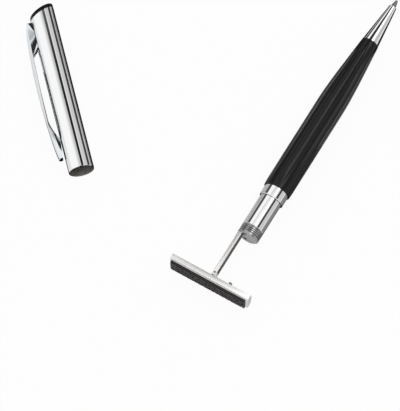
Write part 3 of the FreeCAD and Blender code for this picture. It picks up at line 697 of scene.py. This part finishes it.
# The ink pad
# A felt strip soaked in dark ink lies in a moulded trough along the cap's inside, and inks
# the rubber whenever the cap is on.
felt_finish = new_finish("inked felt")
fibres = felt_finish.noise(0.2 * mm, detail=5)
felt = felt_finish.surface(base_color=felt_finish.tint(fibres, (0.02, 0.028, 0.11), (0.05, 0.06, 0.2)),
                           roughness=0.95, normal=felt_finish.bump(fibres, depth=0.06 * mm))
coat("ink_pad", felt)
coat("ink_tray", black_plastic)


# The clip
# Pressed and chrome plated: a solid root on the cap's wall, a long bowed arm and a
# lens-shaped pad that presses on the cap. Its edges are well rounded for the pocket.
clip_finish = new_finish("polished clip plating")
pocket_rub = clip_finish.noise(5 * mm, detail=4)
clip_chrome = clip_finish.surface(
    base_color=clip_finish.tint(pocket_rub, (0.76, 0.80, 0.825), (0.84, 0.87, 0.885)), metallic=1.0,
    roughness=pocket_rub * 0.05 + 0.05)
eased_copy("clip", "rounded_clip", 0.26, "clip", clip_chrome)


# The table
# A plain white table of fine paper. The camera and the polished metal see it a little whiter
# than the light alone makes it, and it keeps the soft shadows.
bpy.ops.mesh.primitive_plane_add(size=6)
table = bpy.context.object
table.name = "table"
paper = new_finish("white table")
paper_grain = paper.noise(2 * mm)
whiter_seen, whiter_mirrored = 0.94, 0.15
from_camera = paper.node("ShaderNodeLightPath", output="Is Camera Ray")
from_metal = paper.maths("MAXIMUM", paper.node("ShaderNodeLightPath", output="Is Glossy Ray"),
                         paper.node("ShaderNodeLightPath", output="Is Transmission Ray"))
whiter = paper.maths("MAXIMUM", from_camera * whiter_seen, from_metal * whiter_mirrored)
matt = paper.node("ShaderNodeBsdfDiffuse", None,
                  {"Color": paper.tint(paper_grain, (0.90, 0.90, 0.90), (0.93, 0.93, 0.93))})
lifted = paper.node("ShaderNodeEmission", None, {"Color": (1, 1, 1, 1), "Strength": 1.0})
shaded = paper.node("ShaderNodeMixShader", None, {0: whiter, 1: matt, 2: lifted})
paper.node("ShaderNodeOutputMaterial", None, {"Surface": shaded})
table.data.materials.append(paper.owner)


# The cards on the table
# Strips of black, grey and pale card lie beside the chrome, where only the metal sees them.
# They set its edges off from the white ground, as cards do in a photo studio.
def card_stock(name, grey):
    """Plain card with a faint nap."""
    finish = new_finish(name)
    nap = finish.noise(3 * mm)
    return finish.surface(base_color=finish.tint(nap, (grey * 0.9,) * 3, (grey * 1.1,) * 3),
                          roughness=0.9, specular_ior_level=0.1)


def lay_card(name, place, material, across, along):
    """A strip of card that lies from here to there across a piece's axis and along it, in mm."""
    half = card_thickness / 2
    strip_card = block((across[0], -half, along[0]), (across[1], half, along[1]))
    strip_card.name = name
    above_table = place.copy()
    above_table.translation.z = card_height * mm
    strip_card.matrix_world = above_table
    strip_card.visible_camera = strip_card.visible_diffuse = strip_card.visible_shadow = False
    strip_card.data.materials.append(material)


card_thickness, card_height = 0.08, 0.1
card_black = card_stock("black card", grey=0.01)
card_grey = card_stock("grey card", grey=0.29)
card_pale = card_stock("pale card", grey=0.6)
lay_card("card below the coupler", pen_place, card_black, across=(-7, 6), along=(76, 104))
lay_card("card before the coupler", pen_place, card_grey, across=(6, 50), along=(60, 104))
lay_card("card behind the coupler", pen_place, card_pale, across=(-30, -7), along=(60, 104))
lay_card("card below the nose", pen_place, card_black, across=(-200, 20), along=(-12, 19))
lay_card("card below the cap", cap_place, card_black, across=(-4.4, 17), along=(-10, 76))
lay_card("card below the clip", cap_place, card_black, across=(-8, -4.4), along=(-10, 42))
lay_card("card beside the cap", cap_place, card_grey, across=(17, 45), along=(0, 76))


# The studio light
# Soft white light from all around, and one long soft lamp above, on the right. Dark panels
# far out to the sides, which only the metal mirrors, give the chrome its lines.
world = bpy.data.worlds.new("studio")
bpy.context.scene.world = world
studio = Finish(world)
seen = studio.maths("MAXIMUM", studio.node("ShaderNodeLightPath", output="Is Camera Ray"),
                    studio.node("ShaderNodeLightPath", output="Is Transmission Ray"))
mirrored = studio.node("ShaderNodeLightPath", output="Is Glossy Ray")
direction = studio.node("ShaderNodeTexCoord", output="Generated")


def towards(side):
    """How far a mirrored ray goes towards a side: 1 is straight at it, 0 is across it."""
    return studio.node("ShaderNodeVectorMath", {"operation": "DOT_PRODUCT"},
                       {0: direction, 1: side}, output="Value")


def panel(amount, opens=None, closes=None, grey=0.0, then=1.0):
    """White, but grey from where it opens to where it closes: each is a soft border (from, to)."""
    stops = [(opens[0], 1.0), (opens[1], grey)] if opens else []
    if closes:
        stops += [(closes[0], grey), (closes[1], then)]
    return studio.ramp(amount, *stops)


def darkest(*panels):
    darker = panels[0]
    for other in panels[1:]:
        darker = studio.maths("MINIMUM", darker, other)
    return darker


def only_where(shape, *masks):
    for mask in masks:
        shape = studio.maths("MAXIMUM", shape, mask)
    return shape


to_right, to_left = towards((1, 0, 0)), towards((-1, 0, 0))
to_back, to_front = towards((0, 1, 0)), towards((0, -1, 0))
upwards = towards((0, 0, 1))
to_corner = towards((0.5, 0.5, 0))
beside_pen, other_side = towards(tuple(pen_across)), towards(tuple(-pen_across))
beyond_point = towards(tuple(-pen_along))
front_panel = only_where(panel(beside_pen, (0.54, 0.58), (0.75, 0.80), grey=0.03),
                         panel(to_front, (0.10, 0.13)))
back_panel = only_where(panel(other_side, (0.72, 0.77), (0.90, 0.94), grey=0.07, then=0.5),
                        panel(to_back, (0.45, 0.55)))
top_panel = only_where(panel(to_right, (0.05, 0.09), (0.40, 0.46), grey=0.015),
                       panel(to_back, (0.22, 0.26), (0.42, 0.48)),
                       panel(to_corner, (0.243, 0.256)))
right_panel = only_where(panel(upwards, closes=(0.36, 0.43), grey=0.05),
                         panel(to_back, (0.05, 0.15)),
                         panel(to_right, (0.60, 0.70)))
point_panel = only_where(panel(upwards, closes=(0.30, 0.36), grey=0.04),
                         panel(beyond_point, (0.40, 0.44), (0.62, 0.66)),
                         panel(beside_pen, closes=(0.10, 0.20)))
nose_panel = only_where(panel(to_right, closes=(0.34, 0.40), grey=0.02),
                        panel(to_back, (0.40, 0.44), (0.70, 0.76)),
                        panel(to_corner, (0.28, 0.32)))
soft_edge = only_where(panel(to_left, closes=(0.0, 0.40), grey=0.55),
                       panel(to_back, (0.26, 0.30), (0.42, 0.48)),
                       panel(to_right, closes=(0.05, 0.09)))
right_grey = only_where(panel(to_right, (0.44, 0.56), grey=0.62),
                        darkest(panel(to_back, closes=(0.04, 0.08)), panel(to_back, (0.26, 0.30))))
pattern = darkest(front_panel, back_panel, top_panel, right_panel, point_panel, nose_panel,
                  soft_edge, right_grey)
soft = studio.node("ShaderNodeBackground", None, {"Color": (1, 1, 1, 1), "Strength": 0.78})
shown = studio.node("ShaderNodeBackground", None, {"Color": pattern, "Strength": 1.0})
plain = studio.node("ShaderNodeBackground", None, {"Color": (1, 1, 1, 1), "Strength": 1.0})
lit = studio.node("ShaderNodeMixShader", None, {0: mirrored, 1: soft, 2: shown})
everywhere = studio.node("ShaderNodeMixShader", None, {0: seen, 1: lit, 2: plain})
studio.node("ShaderNodeOutputWorld", None, {"Surface": everywhere})

bpy.ops.object.light_add(type="AREA", location=(0.44, -0.01, 0.84))
lamp = bpy.context.object
lamp.name = "strip lamp"
lamp.data.shape = "RECTANGLE"
lamp.data.size = 0.9
lamp.data.size_y = 0.12
lamp.data.energy = 1.1
to_pen = (-lamp.location).normalized()
lamp_long = (pen_along - to_pen * pen_along.dot(to_pen)).normalized()
lamp_axes = Matrix((lamp_long, (-to_pen).cross(lamp_long), -to_pen)).transposed()
lamp.rotation_euler = lamp_axes.to_euler()


# The camera
# It looks steeply down on the pen and its cap through a long lens, from well above the
# table and a little to the left.
aim = Vector((-20.43, -22.74, 3.0)) * mm
azimuth, elevation, distance = math.radians(-13.68), math.radians(67), 1.5
level = math.cos(elevation)
behind = Vector((math.sin(azimuth) * level, -math.cos(azimuth) * level, math.sin(elevation)))
bpy.ops.object.camera_add(location=aim + behind * distance)
camera = bpy.context.object
camera.rotation_euler = (-behind).to_track_quat("-Z", "Y").to_euler()
camera.data.lens = 380.4
camera.data.sensor_width = 36
camera.data.clip_start = 0.05
camera.data.clip_end = 20
bpy.context.scene.camera = camera
bpy.context.scene.view_settings.view_transform = "Standard"
